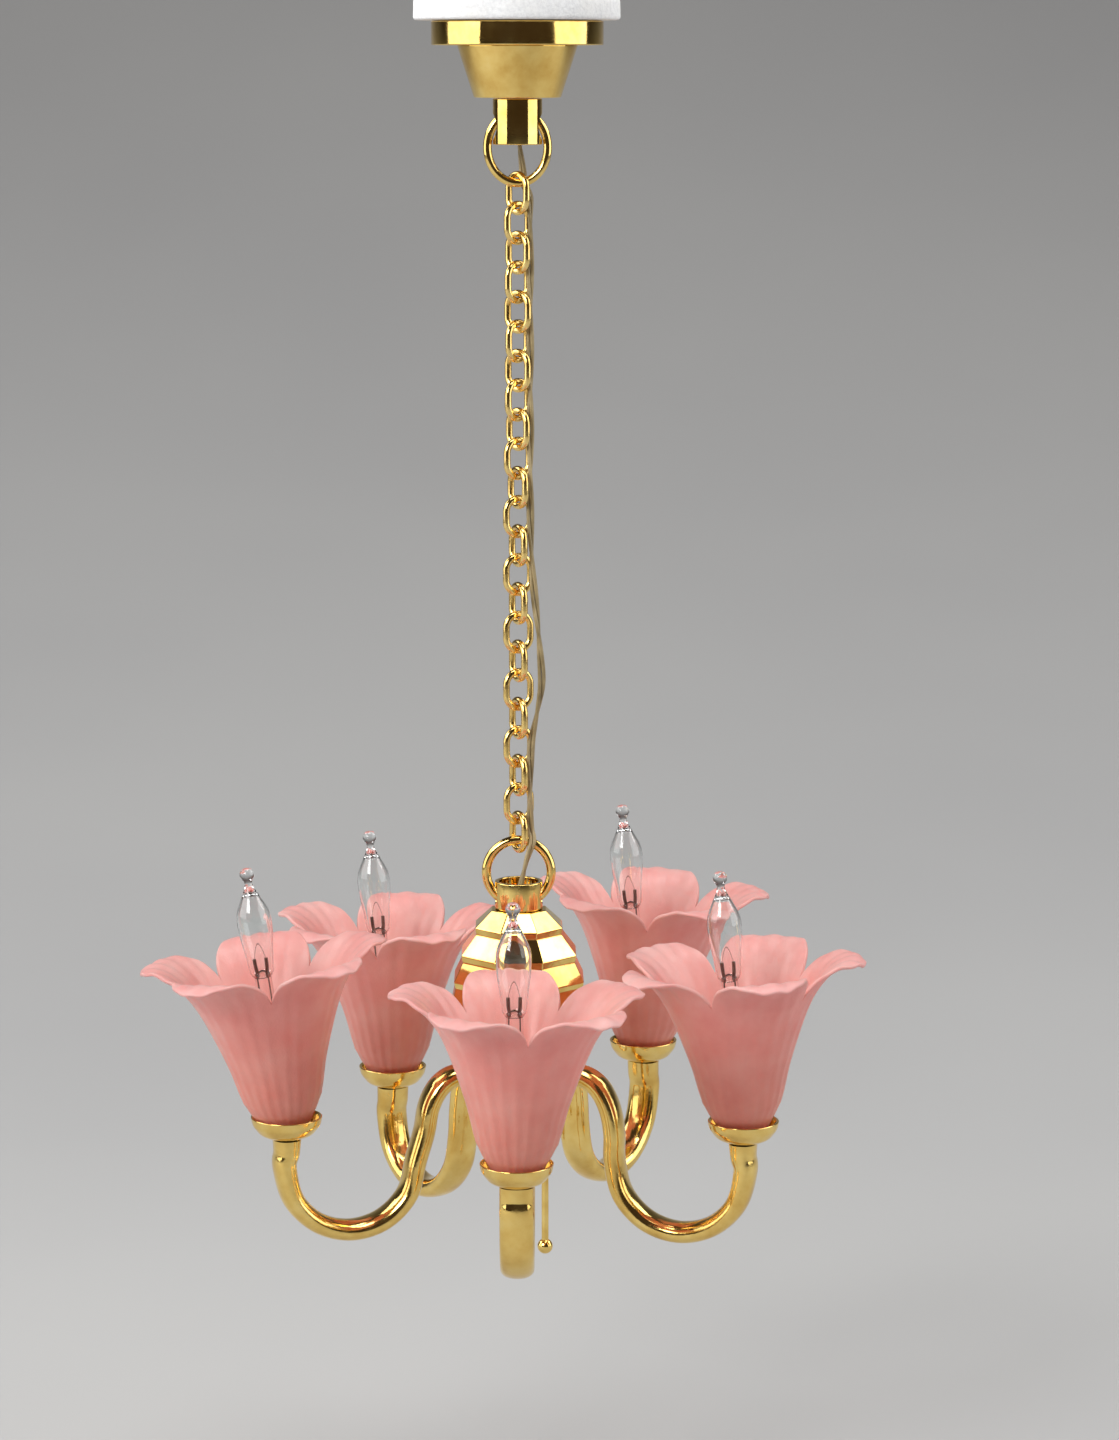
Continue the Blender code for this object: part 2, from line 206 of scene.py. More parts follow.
def smooth_path(points, steps):
    """Catmull-Rom curve through points, with a number of steps to each stretch."""
    path = []
    for n in range(len(points) - 1):
        p0 = points[max(n - 1, 0)]
        p1 = points[n]
        p2 = points[n + 1]
        p3 = points[min(n + 2, len(points) - 1)]
        for k in range(steps):
            t = k / steps
            path.append(
                (
                    p1 * 2.0
                    + (p2 - p0) * t
                    + (p0 * 2.0 - p1 * 5.0 + p2 * 4.0 - p3) * t**2
                    + (p1 * 3.0 - p0 - p2 * 3.0 + p3) * t**3
                )
                * 0.5
            )
    path.append(points[-1].copy())
    return path


def tube_rows(path, radius, sides, closed=False, reference=None):
    """Round sections along a path, turned as little as possible from one to the next."""
    rows = []
    count = len(path)
    side = reference
    for n, point in enumerate(path):
        if closed:
            along = path[(n + 1) % count] - path[n - 1]
        else:
            along = path[min(n + 1, count - 1)] - path[max(n - 1, 0)]
        along.normalize()
        if side is None:
            side = along.orthogonal()
        side = (side - along * side.dot(along)).normalized()
        other = along.cross(side)
        ring = []
        for k in range(sides):
            turn = math.tau * k / sides
            ring.append(point + (side * math.cos(turn) + other * math.sin(turn)) * radius)
        rows.append(ring)
    return rows


def oval_path(half_width, half_height, straight, count):
    """A closed oval in the XZ plane about the origin, its sides straight for a stretch."""
    path = []
    for k in range(count):
        turn = math.tau * (k + 0.5) / count
        shift = math.copysign(straight / 2.0, math.sin(turn))
        path.append(Vector((half_width * math.cos(turn), 0.0, half_height * math.sin(turn) + shift)))
    return path


def drilled(piece, radius, height):
    """Cuts a round hole of a radius and height in metres through a piece, along X."""
    bm = bmesh.new()
    bmesh.ops.create_cone(
        bm,
        cap_ends=True,
        segments=48,
        radius1=radius,
        radius2=radius,
        depth=DRILL_LENGTH * MM,
        matrix=Matrix.Translation((0.0, 0.0, height)) @ Matrix.Rotation(math.pi / 2.0, 4, "Y"),
    )
    cutter = link_object("drill", finished_mesh(bm, "drill", face_outward=False))
    cut = piece.modifiers.new("cut", "BOOLEAN")
    cut.operation = "DIFFERENCE"
    cut.solver = "EXACT"
    cut.object = cutter
    settle(piece)
    bpy.data.objects.remove(cutter)


def settle(piece, sharp=40.0):
    """Applies a piece's modifiers to its mesh."""
    bpy.context.view_layer.update()
    graph = bpy.context.evaluated_depsgraph_get()
    mesh = bpy.data.meshes.new_from_object(piece.evaluated_get(graph))
    piece.modifiers.clear()
    piece.data = mesh
    mesh.shade_smooth()
    mesh.set_sharp_from_angle(angle=math.radians(sharp))


def ripple(turn, strengths):
    """A small repeatable waviness round a turn, from (waves to the turn, strength)."""
    total = 0.0
    for n, strength in strengths:
        total += strength * math.sin(n * turn + RIPPLE_SHIFT * n)
    return total


# ---------------------------------------------------------------- materials


class Nodes:
    """Short calls for building a material's node tree. Noise scales are waves to the metre."""

    def __init__(self, name):
        self.material = bpy.data.materials.new(name)
        self.material.use_nodes = True
        self.tree = self.material.node_tree
        self.shader = self.tree.nodes["Principled BSDF"]
        self.coords = self.tree.nodes.new("ShaderNodeTexCoord").outputs["Object"]

    def set(self, **values):
        """Values for the shader's own sockets, with _ for each space."""
        for key, value in values.items():
            self.shader.inputs[key.replace("_", " ")].default_value = value

    def link(self, source, target):
        self.tree.links.new(source, target)

    def noise(self, scale, detail=3.0, roughness=0.5, coords=None):
        node = self.tree.nodes.new("ShaderNodeTexNoise")
        node.inputs["Scale"].default_value = scale
        node.inputs["Detail"].default_value = detail
        node.inputs["Roughness"].default_value = roughness
        self.link(coords or self.coords, node.inputs["Vector"])
        return node.outputs["Fac"]

    def stretched(self, scale):
        """Object coordinates scaled along each axis, which draws a texture out into streaks."""
        node = self.tree.nodes.new("ShaderNodeMapping")
        node.inputs["Scale"].default_value = scale
        self.link(self.coords, node.inputs["Vector"])
        return node.outputs["Vector"]

    def ramp(self, source, stops):
        """Colours at places from 0 to 1."""
        node = self.tree.nodes.new("ShaderNodeValToRGB")
        elements = node.color_ramp.elements
        while len(elements) < len(stops):
            elements.new(0.5)
        for element, (place, colour) in zip(elements, stops):
            element.position = place
            element.color = (*colour, 1.0)
        self.link(source, node.inputs["Fac"])
        return node.outputs["Color"]

    def spread(self, source, low, high, from_low=0.3, from_high=0.7):
        """A noise's usual range mapped to low and high."""
        node = self.tree.nodes.new("ShaderNodeMapRange")
        node.inputs["From Min"].default_value = from_low
        node.inputs["From Max"].default_value = from_high
        node.inputs["To Min"].default_value = low
        node.inputs["To Max"].default_value = high
        self.link(source, node.inputs["Value"])
        return node.outputs["Result"]

    def mix(self, share, first, second):
        """Two colours mixed by a share: each a socket, or a number or colour that stays the same."""
        node = self.tree.nodes.new("ShaderNodeMix")
        node.data_type = "RGBA"
        for key, value in (("Factor", share), ("A", first), ("B", second)):
            kind = "VALUE" if key == "Factor" else "RGBA"
            socket = [s for s in node.inputs if s.name == key and s.type == kind][0]
            if isinstance(value, (int, float)):
                socket.default_value = value
            elif isinstance(value, tuple):
                socket.default_value = (*value, 1.0)
            else:
                self.link(value, socket)
        return [s for s in node.outputs if s.type == "RGBA"][0]

    def bump(self, height, strength, distance):
        """A bump of a distance in metres."""
        node = self.tree.nodes.new("ShaderNodeBump")
        node.inputs["Strength"].default_value = strength
        node.inputs["Distance"].default_value = distance
        self.link(height, node.inputs["Height"])
        return node.outputs["Normal"]

    def attribute(self, name):
        """A number kept on the mesh's vertices."""
        node = self.tree.nodes.new("ShaderNodeAttribute")
        node.attribute_name = name
        return node.outputs["Fac"]


def gold_material(name, colours, roughness, pitting):
    """Polished gold plate: uneven tone, fine scratches and small cast pits."""
    m = Nodes(name)
    tone = m.noise(350.0, detail=4.0, roughness=0.6)
    colour = m.ramp(tone, list(zip((0.3, 0.55, 0.8), colours)))
    m.link(colour, m.shader.inputs["Base Color"])
    scratches = m.noise(900.0, detail=2.0, roughness=0.5, coords=m.stretched((1.0, 1.0, 0.12)))
    m.link(m.spread(scratches, roughness[0], roughness[1]), m.shader.inputs["Roughness"])
    pits = m.noise(1600.0, detail=3.0, roughness=0.6)
    m.link(m.bump(pits, strength=pitting, distance=0.00006), m.shader.inputs["Normal"])
    m.set(Metallic=1.0)
    return m.material


PETAL_PLACES = (0.0, 0.45, 1.0)  # shares of the way from a shade's foot to its petal tips
PETAL_DEEP = ((0.80, 0.25, 0.18), (0.82, 0.30, 0.25), (0.82, 0.36, 0.34))
PETAL_PALE = ((0.88, 0.35, 0.26), (0.89, 0.41, 0.35), (0.91, 0.50, 0.47))


def petal_material():
    """Frosted translucent acrylic: salmon in the bell, paler and rosier on the petals."""
    m = Nodes("frosted_pink_acrylic")
    rise = m.attribute("rise")
    cloud = m.noise(260.0, detail=3.0, roughness=0.6)
    deep = m.ramp(rise, list(zip(PETAL_PLACES, PETAL_DEEP)))
    pale = m.ramp(rise, list(zip(PETAL_PLACES, PETAL_PALE)))
    m.link(m.mix(m.spread(cloud, 0.0, 1.0), deep, pale), m.shader.inputs["Base Color"])
    grain = m.noise(5200.0, detail=2.0, roughness=0.7)
    m.link(m.spread(grain, 0.38, 0.52), m.shader.inputs["Roughness"])
    streaks = m.noise(700.0, detail=3.0, roughness=0.55, coords=m.stretched((1.0, 1.0, 0.2)))
    relief = m.mix(0.3, streaks, grain)
    m.link(m.bump(relief, strength=0.6, distance=0.00014), m.shader.inputs["Normal"])
    m.set(
        Transmission_Weight=0.3,
        IOR=1.45,
        Subsurface_Weight=0.45,
        Subsurface_Radius=(1.0, 0.42, 0.38),
        Subsurface_Scale=0.0018,
        Specular_IOR_Level=0.5,
        Coat_Weight=0.18,
        Coat_Roughness=0.32,
    )
    return m.material


def glass_material():
    """Clear blown glass with slight ripples and a faint grey-green body."""
    m = Nodes("clear_blown_glass")
    wave = m.noise(420.0, detail=2.0, roughness=0.5)
    tint = m.ramp(wave, [(0.0, (0.93, 0.96, 0.95)), (1.0, (1.0, 1.0, 1.0))])
    m.link(tint, m.shader.inputs["Base Color"])
    m.link(m.spread(wave, 0.0, 0.03), m.shader.inputs["Roughness"])
    m.link(m.bump(wave, strength=0.35, distance=0.0001), m.shader.inputs["Normal"])
    m.set(Transmission_Weight=1.0, IOR=1.47)
    return m.material


def foam_material():
    """White foam tape: fine open cells and faint yellowed patches here and there."""
    m = Nodes("white_adhesive_foam")
    cells = m.noise(2600.0, detail=3.0, roughness=0.7)
    stain = m.noise(180.0, detail=3.0, roughness=0.6)
    white = m.ramp(cells, [(0.3, (0.70, 0.71, 0.73)), (0.6, (0.86, 0.87, 0.88))])
    m.link(m.mix(m.spread(stain, 0.0, 0.35), white, (0.83, 0.80, 0.72)), m.shader.inputs["Base Color"])
    m.link(m.spread(cells, 0.75, 0.95), m.shader.inputs["Roughness"])
    m.link(m.bump(cells, strength=0.6, distance=0.00015), m.shader.inputs["Normal"])
    return m.material


def wire_material():
    """Thin golden-tan insulation with a soft sheen."""
    m = Nodes("tan_wire_insulation")
    tone = m.noise(500.0, detail=3.0, roughness=0.5)
    shades = [(0.25, (0.20, 0.15, 0.065)), (0.6, (0.36, 0.28, 0.14)), (0.85, (0.50, 0.41, 0.23))]
    m.link(m.ramp(tone, shades), m.shader.inputs["Base Color"])
    m.link(m.spread(tone, 0.28, 0.5), m.shader.inputs["Roughness"])
    m.link(m.bump(m.noise(3000.0), strength=0.2, distance=0.00004), m.shader.inputs["Normal"])
    return m.material


def ivory_material():
    """Moulded ivory plastic of the sockets."""
    m = Nodes("ivory_socket_plastic")
    tone = m.noise(400.0, detail=3.0, roughness=0.5)
    colour = m.ramp(tone, [(0.3, (0.74, 0.52, 0.44)), (0.7, (0.82, 0.62, 0.54))])
    m.link(colour, m.shader.inputs["Base Color"])
    m.link(m.spread(tone, 0.35, 0.55), m.shader.inputs["Roughness"])
    m.link(m.bump(m.noise(2400.0), strength=0.25, distance=0.00005), m.shader.inputs["Normal"])
    return m.material


def lead_material():
    """Dark oxidised leads inside the bulbs."""
    m = Nodes("dark_oxidised_lead")
    tone = m.noise(1500.0, detail=3.0, roughness=0.6)
    colour = m.ramp(tone, [(0.3, (0.06, 0.035, 0.03)), (0.7, (0.20, 0.12, 0.09))])
    m.link(colour, m.shader.inputs["Base Color"])
    m.link(m.spread(tone, 0.35, 0.6), m.shader.inputs["Roughness"])
    m.link(m.bump(tone, strength=0.3, distance=0.00004), m.shader.inputs["Normal"])
    m.set(Metallic=0.8)
    return m.material


GOLD_TONES = ((0.74, 0.47, 0.12), (0.90, 0.64, 0.20), (0.98, 0.76, 0.30))
CHAIN_TONES = ((0.72, 0.45, 0.13), (0.88, 0.63, 0.22), (0.96, 0.75, 0.33))
gold = gold_material("polished_gold_plate", GOLD_TONES, (0.05, 0.12), 0.08)
cast_gold = gold_material("cast_gold_plate", GOLD_TONES, (0.08, 0.20), 0.28)
chain_gold = gold_material("chain_gold_plate", CHAIN_TONES, (0.12, 0.26), 0.2)
petal = petal_material()
glass = glass_material()
foam = foam_material()
insulation = wire_material()
ivory = ivory_material()
lead = lead_material()


# ---------------------------------------------------------------- ceiling rose

PAD_EDGE_WAVES = ((3, 0.004), (7, 0.003), (13, 0.002), (31, 0.001))
RIM_LIP = 0.12  # how far the rim's edge stands below its hollow underside
BELL_TAPER = 1.6  # how much the bell narrows on its way down
BELL_OVERLAP = 0.1  # how far the bell runs up into the rim
NECK_WALL = 0.4
TOP_RING_HOLE = 1.25  # radii of the holes drilled through the two necks
BOTTOM_RING_HOLE = 1.0


def ceiling_pad():
    """A foam disc with a cut edge that wavers a little."""
    radius, top, bottom = round_size("ceiling_pad")
    outline = [(0.0, top), (radius - 0.15, top), (radius - 0.1, bottom), (0.0, bottom)]

    def waviness(turn):
        return 1.0 + ripple(turn, PAD_EDGE_WAVES)

    mesh = turned_mesh("ceiling_pad_foam", rounded(outline, 0.35), 160, waviness)
    add_piece("ceiling_pad_foam", mesh, foam, "rose", "white_foam", ("ceiling_pad",))


def rose_pieces():
    """The rose's shallow rim, the cone-shaped bell under it, and its neck."""
    radius, top, bottom = round_size("rose_rim")
    outline = [
        (0.0, top),
        (radius, top),
        (radius, bottom),
        (radius - 0.45, bottom),
        (radius - 0.6, bottom + RIM_LIP),
        (0.0, bottom + RIM_LIP),
    ]
    mesh = turned_mesh("rose_rim_band", rounded(outline, 0.12), 128)
    add_piece("rose_rim_band", mesh, gold, "rose", "gold_brass", ("rose_rim",))

    radius, top, bottom = round_size("rose_bell")
    outline = [
        (0.0, top + BELL_OVERLAP),
        (radius - 0.03, top + BELL_OVERLAP),
        (radius - BELL_TAPER, bottom),
        (2.7, bottom),
        (2.6, bottom + 0.1),
        (0.0, bottom + 0.1),
    ]
    mesh = turned_mesh("rose_bell_cone", rounded(outline, 0.15), 128)
    add_piece("rose_bell_cone", mesh, gold, "rose", "gold_brass", ("rose_bell",))
    neck_piece("rose_neck", "rose", "top_ring_swing", TOP_RING_HOLE)


def neck_piece(node, body, joint, hole):
    """A drilled tube: its hole lies on the joint that hangs in it."""
    radius, top, bottom = round_size(node)
    middle = (top + bottom) / 2.0
    bore = radius - NECK_WALL
    outline = [
        (bore, middle),
        (bore, top),
        (radius, top),
        (radius, bottom),
        (bore, bottom),
        (bore, middle - SEAM),
    ]
    mesh = turned_mesh(node + "_tube", rounded(outline, 0.09), 96)
    piece = add_piece(node + "_tube", mesh, gold, body, "gold_brass", (node,))
    drilled(piece, hole * MM, JOINTS[joint]["pos_m"][2])


# ---------------------------------------------------------------- rings and chain

ROUND_SHARE = 1.0102  # how much larger a round ring is than the box of its many-sided solid
LINK_WIRE = 0.65
LINK_WIDTH = 3.2
LINK_GAP = 0.08  # the play between two links that pull on each other
CHAIN_LINKS = 23


def ring_piece(node, body):
    """A ring of round wire that stands in the XZ plane."""
    low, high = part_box(node)
    wire = high.y - low.y
    half_width = (high.x - low.x - wire) / 2.0 * ROUND_SHARE
    half_height = (high.z - low.z - wire) / 2.0 * ROUND_SHARE
    path = oval_path(half_width, half_height, 0.0, 96)
    rows = tube_rows(path, wire / 2.0, 20, True, Vector((0, 1, 0)))
    mesh = mesh_from_rows(node + "_wire", rows, True)
    add_piece(node + "_wire", mesh, gold, body, "gold_brass", (node,), (low + high) / 2.0, sharp=0)


def link_pitch():
    """The height from one chain link to the next."""
    return (JOINTS["link_01_swing"]["pos_m"][2] - JOINTS["link_02_swing"]["pos_m"][2]) / MM


def chain_pieces():
    """Twenty-three straight-sided links, each turned to its own joint's line."""
    wire = LINK_WIRE * MM
    half_width = (LINK_WIDTH - LINK_WIRE) / 2.0 * MM
    half_height = (link_pitch() + LINK_WIRE + LINK_GAP) / 2.0 * MM
    stretch = (half_height - half_width) * 2.0
    path = oval_path(half_width, half_width, stretch, 56)
    rows = tube_rows(path, wire / 2.0, 14, True, Vector((0, 1, 0)))
    mesh = mesh_from_rows("link_wire", rows, True)
    for n in range(1, CHAIN_LINKS + 1):
        number = str(n).zfill(2)
        joint = JOINTS["link_" + number + "_swing"]
        turn = math.atan2(joint["axis"][1], joint["axis"][0])
        node = "chain_link_" + number
        add_piece(
            "link_wire_" + number,
            mesh,
            chain_gold,
            "link_" + number,
            "gold_brass",
            (node,),
            Vector((0.0, 0.0, centre_of(node).z)),
            Matrix.Rotation(turn, 3, "Z"),
            sharp=0,
        )


# ---------------------------------------------------------------- body

BODY_SIDES = 8
BODY_EDGE = 0.07  # the bevel that catches the light along each facet's edge
BODY_BEVEL_ANGLE = 4.0  # degrees between facets from which an edge gets it
BODY_SHARP_ANGLE = 3.0  # degrees from which an edge is shaded sharp
BODY_ROWS = (  # (radius to a corner, height from the body's top)
    (2.78, 0.0),
    (4.52, -1.6),
    (4.4, -2.25),
    (5.95, -4.2),
    (5.8, -4.85),
    (6.72, -6.7),
    (6.58, -7.3),
    (7.0, -9.2),
    (6.37, -11.7),
    (5.17, -13.6),
    (3.38, -14.95),
)


def faceted_body():
    """Flat facets in eight columns, sloped rows between steep ones, with crisp narrow edges."""
    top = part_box("faceted_body")[1].z
    rows = []
    for r, drop in BODY_ROWS:
        ring = []
        for k in range(BODY_SIDES):
            turn = math.tau * (k + 0.5) / BODY_SIDES - math.pi / 2.0
            ring.append(Vector((r * MM * math.cos(turn), r * MM * math.sin(turn), top + drop * MM)))
        rows.append(ring)
    mesh = mesh_from_rows("faceted_ball", rows)
    piece = add_piece("faceted_ball", mesh, gold, "lamp", "gold_brass", ("faceted_body",))
    edge = piece.modifiers.new("edge", "BEVEL")
    edge.width = BODY_EDGE * MM
    edge.segments = 2
    edge.limit_method = "ANGLE"
    edge.angle_limit = math.radians(BODY_BEVEL_ANGLE)
    settle(piece, BODY_SHARP_ANGLE)


FINIAL_BALL = 0.75  # radii of the finial's ball and pin
FINIAL_PIN = 0.34
BALL_STEPS = 17


def hub_and_finial():
    """The boss that the arms spring from, and the ball-ended pin below it."""
    radius, top, bottom = round_size("arm_hub")
    outline = [
        (0.0, top),
        (radius - 0.02, top),
        (radius - 0.02, bottom + 0.5),
        (radius - 0.7, bottom),
        (0.0, bottom),
    ]
    mesh = turned_mesh("arm_hub_boss", rounded(outline, 0.25), 96)
    add_piece("arm_hub_boss", mesh, cast_gold, "lamp", "gold_brass", ("arm_hub",))

    low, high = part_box("ball_finial")
    start = Vector(((low.x + high.x) / 2.0, 0.0, high.z))
    length = (high.z - low.z) / MM - FINIAL_BALL
    profile = [(0.0, 0.0), (FINIAL_PIN, -0.02)]
    first = math.asin(FINIAL_PIN / FINIAL_BALL)
    for k in range(BALL_STEPS):
        turn = first + (math.pi - first) * k / BALL_STEPS
        profile.append((FINIAL_BALL * math.sin(turn), -length + FINIAL_BALL * math.cos(turn)))
    profile.append((0.0, -length - FINIAL_BALL))
    mesh = turned_mesh("finial_pin", profile, 40)
    add_piece("finial_pin", mesh, gold, "lamp", "gold_brass", ("ball_finial",), start)


# ---------------------------------------------------------------- arms and lamps

ARM_START = 3.12  # distance out from the middle where an arm leaves the hub
ARM_CREST = (  # (distance out, height) of an arm's middle line, over its crest
    (ARM_START, -103.0),
    (4.6, -102.1),
    (6.4, -101.95),
    (8.0, -102.9),
    (9.1, -104.8),
    (9.6, -107.3),
)
BEND_RADIUS = 6.5  # the half circle at the bottom of an arm
BEND_INSET = 6.25  # how far its centre is inside the cup's middle
BEND_Z = -110.1
BEND_STEPS = 6
BEND_END = (0.05, -108.6)  # (beyond the cup's middle, height) just above the bend
CUP_LEVEL = -107.26  # the height of an arm's upper end
CUP_FOOT = -107.1  # the height of a cup's foot on an arm that isn't raised
CUP_DROP = 0.1  # how far a cup's underside is below its foot
ARM_HALF_WIDTH = 1.6
ARM_SIDES = 28
FLAT_POWER = 0.85  # below 1, these square off the arm's section
WIDE_POWER = 0.9
ARM_HALF_THICKNESS = 0.98  # through the bend
ARM_SWELL = 0.37  # what is added to that at the cup, and taken from it at the hub
ARM_TAPER = 0.12
SWELL_START = 0.72  # share of the arm's length where it starts to swell towards the cup
TAPER_END = 0.1  # share where the taper at the hub ends
PIVOT_RISE = 0.8  # the point that a shade and a bulb lean about, above the cup's foot


def arm_stations(reach, rise):
    """An arm's middle line as (distance out, height), raised more the further out it is."""
    line = [Vector((r, z)) for r, z in ARM_CREST]
    centre = Vector((reach - BEND_INSET, BEND_Z))
    for k in range(BEND_STEPS + 1):
        turn = math.pi * (1.0 + k / BEND_STEPS)
        line.append(centre + Vector((math.cos(turn), math.sin(turn))) * BEND_RADIUS)
    line.append(Vector((reach + BEND_END[0], BEND_END[1])))
    line.append(Vector((reach, CUP_LEVEL)))
    span = reach - ARM_START
    raised = [Vector((p.x, p.y + rise * (p.x - ARM_START) / span)) for p in line]
    return smooth_path(raised, 7)


def arm_half_thickness(share):
    """Slim through the bend, thicker towards the cup, and thinner where it leaves the hub."""
    swell = max(0.0, (share - SWELL_START) / (1.0 - SWELL_START))
    taper = max(0.0, TAPER_END - share) / TAPER_END
    return ARM_HALF_THICKNESS + ARM_SWELL * swell**1.5 - ARM_TAPER * taper


def arm_piece(name, reach, direction, rise):
    """A cast arm: a rounded-square section swept along the middle line, flat sides up and down."""
    outward = Vector((math.cos(direction), math.sin(direction), 0.0))
    sideways = Vector((-math.sin(direction), math.cos(direction), 0.0))
    line = arm_stations(reach, rise)
    rows = []
    last = len(line) - 1
    for n, point in enumerate(line):
        step = line[min(n + 1, last)] - line[max(n - 1, 0)]
        if n == 0:
            step = Vector((1.0, 0.0))
        if n == last:
            step = Vector((0.0, 1.0))
        along = (outward * step.x + UP * step.y).normalized()
        across = along.cross(sideways)
        middle = outward * point.x + UP * point.y
        thick = arm_half_thickness(n / last)
        ring = []
        for k in range(ARM_SIDES):
            turn = math.tau * k / ARM_SIDES
            flat = math.copysign(abs(math.cos(turn)) ** FLAT_POWER, math.cos(turn))
            wide = math.copysign(abs(math.sin(turn)) ** WIDE_POWER, math.sin(turn))
            ring.append((middle + across * flat * thick + sideways * wide * ARM_HALF_WIDTH) * MM)
        rows.append(ring)
    mesh = mesh_from_rows("arm_cast_" + name, rows)
    add_piece("arm_cast_" + name, mesh, cast_gold, "lamp", "gold_brass", ("arm_" + name,), sharp=60)


CUP_OUTLINE = (  # (radius, height above the foot)
    (0.0, 0.3),
    (1.9, 0.4),
    (2.8, 1.1),
    (3.15, 2.05),
    (3.4, 2.05),
    (3.25, 1.25),
    (2.6, 0.4),
    (1.7, -0.02),
    (1.0, -0.1),
    (0.0, -0.1),
)


# The shade's outline from foot to petal tip, as (radius, height above the point it leans about).
SHADE_BELL = ((2.25, 0.5), (2.55, 0.85), (2.78, 1.35), (3.1, 1.85), (3.9, 3.7), (4.65, 6.6), (5.7, 9.7))
SHADE_FLARE = ((6.6, 12.0), (7.6, 13.9), (8.9, 15.5), (10.2, 16.3), (11.2, 16.4), (11.9, 16.0))
SHADE_COLUMNS = 200
SHADE_ROWS = 50
PETALS = 5
NOTCH_SHARE = 0.718  # how far along the outline from the foot the notches reach
LOBE_POWER = 0.7  # below 1, this makes the petals broad and the notches narrow
RIB_START = 0.35  # share where the petals' veins and ribs start to rise
VEIN_HEIGHT = 0.07
VEIN_WIDTH = 0.02
RIB_HEIGHT = 0.06
RIBS = 7  # ribs to each petal
FLUTE_HEIGHT = 0.03
FLUTE_START = 0.1  # share where the bell's flutes reach their full height
FLUTES = 5  # lengthwise flutes to each petal
EDGE_START = 0.85  # share of a column where its wavy edge starts
EDGE_HEIGHT = 0.05
EDGE_WAVES = ((23, 0.6), (37, 0.4))
BELL_RING = 0.15  # share at which a faint ring runs round the bell
RING_HEIGHT = 0.06
RING_WIDTH = 0.012
WALL = 0.42  # the shade's thickness at its foot
THINNING = 0.2  # how much of the wall is lost between foot and tip
RIM_STEPS = 6


def shade_meridian():
    """The bell and flare as one smooth curve, and each of its points' share of its length."""
    points = [Vector(p) for p in SHADE_BELL + SHADE_FLARE]
    fine = smooth_path(points, 12)
    lengths = [0.0]
    for a, b in zip(fine, fine[1:]):
        lengths.append(lengths[-1] + (b - a).length)
    total = lengths[-1]
    return fine, [length / total for length in lengths]


def at_share(fine, shares, share):
    """The point at a share of the curve's length."""
    share = min(max(share, 0.0), 1.0)
    n = 1
    while n < len(shares) - 1 and shares[n] < share:
        n += 1
    span = shares[n] - shares[n - 1]
    part = (share - shares[n - 1]) / span if span else 0.0
    return fine[n - 1].lerp(fine[n], part)


def shade_mesh():
    """A five-petalled bell with faint ribs, whose petals flare and droop at their tips."""
    fine, shares = shade_meridian()
    columns = []
    for k in range(SHADE_COLUMNS):
        turn = math.tau * k / SHADE_COLUMNS
        wave = abs(math.cos(PETALS * turn / 2.0))
        tip = NOTCH_SHARE + (1.0 - NOTCH_SHARE) * wave**LOBE_POWER
        outer = []
        for n in range(SHADE_ROWS):
            share = tip * n / (SHADE_ROWS - 1)
            point = at_share(fine, shares, share)
            spread = max(0.0, (share - RIB_START) / (1.0 - RIB_START))
            vein = VEIN_HEIGHT * spread * math.exp(-(((1.0 - wave) / VEIN_WIDTH) ** 2))
            ribs = RIB_HEIGHT * spread * math.cos(PETALS * RIBS * turn)
            flutes = FLUTE_HEIGHT * min(1.0, share / FLUTE_START) * math.cos(PETALS * FLUTES * turn)
            edge = max(0.0, (n / (SHADE_ROWS - 1) - EDGE_START) / (1.0 - EDGE_START))
            wavy = EDGE_HEIGHT * edge**2 * ripple(turn, EDGE_WAVES)
            ring = RING_HEIGHT * math.exp(-(((share - BELL_RING) / RING_WIDTH) ** 2))
            outer.append((point.x + ring + flutes, point.y + vein + ribs + wavy, share))
        line = []
        for n, (r, z, share) in enumerate(outer):
            before = outer[max(n - 1, 0)]
            after = outer[min(n + 1, SHADE_ROWS - 1)]
            slope = Vector((after[0] - before[0], after[1] - before[1])).normalized()
            line.append((Vector((r, z)), Vector((slope.y, -slope.x)), slope, share))
        columns.append(line)
    bm = bmesh.new()
    layer = bm.verts.layers.float.new("rise")
    grid = []
    for k, line in enumerate(columns):
        turn = math.tau * k / SHADE_COLUMNS
        outward = Vector((math.cos(turn), math.sin(turn), 0.0))
        path = [(point, share) for point, _, _, share in line]
        point, normal, slope, share = line[-1]
        thick = WALL * (1.0 - THINNING)
        middle = point - normal * thick / 2.0
        for n in range(1, RIM_STEPS):
            angle = math.pi * n / RIM_STEPS
            out_along = normal * math.cos(angle) + slope * math.sin(angle)
            path.append((middle + out_along * thick / 2.0, share))
        for point, normal, _, share in reversed(line):
            thick = WALL * (1.0 - THINNING * share)
            inner = point - normal * thick
            if share == 0.0:
                inner = point + Vector((0.0, WALL))
            path.append((inner, share))
        column = []
        for point, share in path:
            vert = bm.verts.new((outward * point.x + UP * point.y) * MM)
            vert[layer] = share
            column.append(vert)
        grid.append(column)
    for k, column in enumerate(grid):
        after = grid[(k + 1) % SHADE_COLUMNS]
        count = len(column)
        for n in range(count):
            n_next = (n + 1) % count
            bm.faces.new((column[n], after[n], after[n_next], column[n_next]))
    return finished_mesh(bm, "petal_shade")


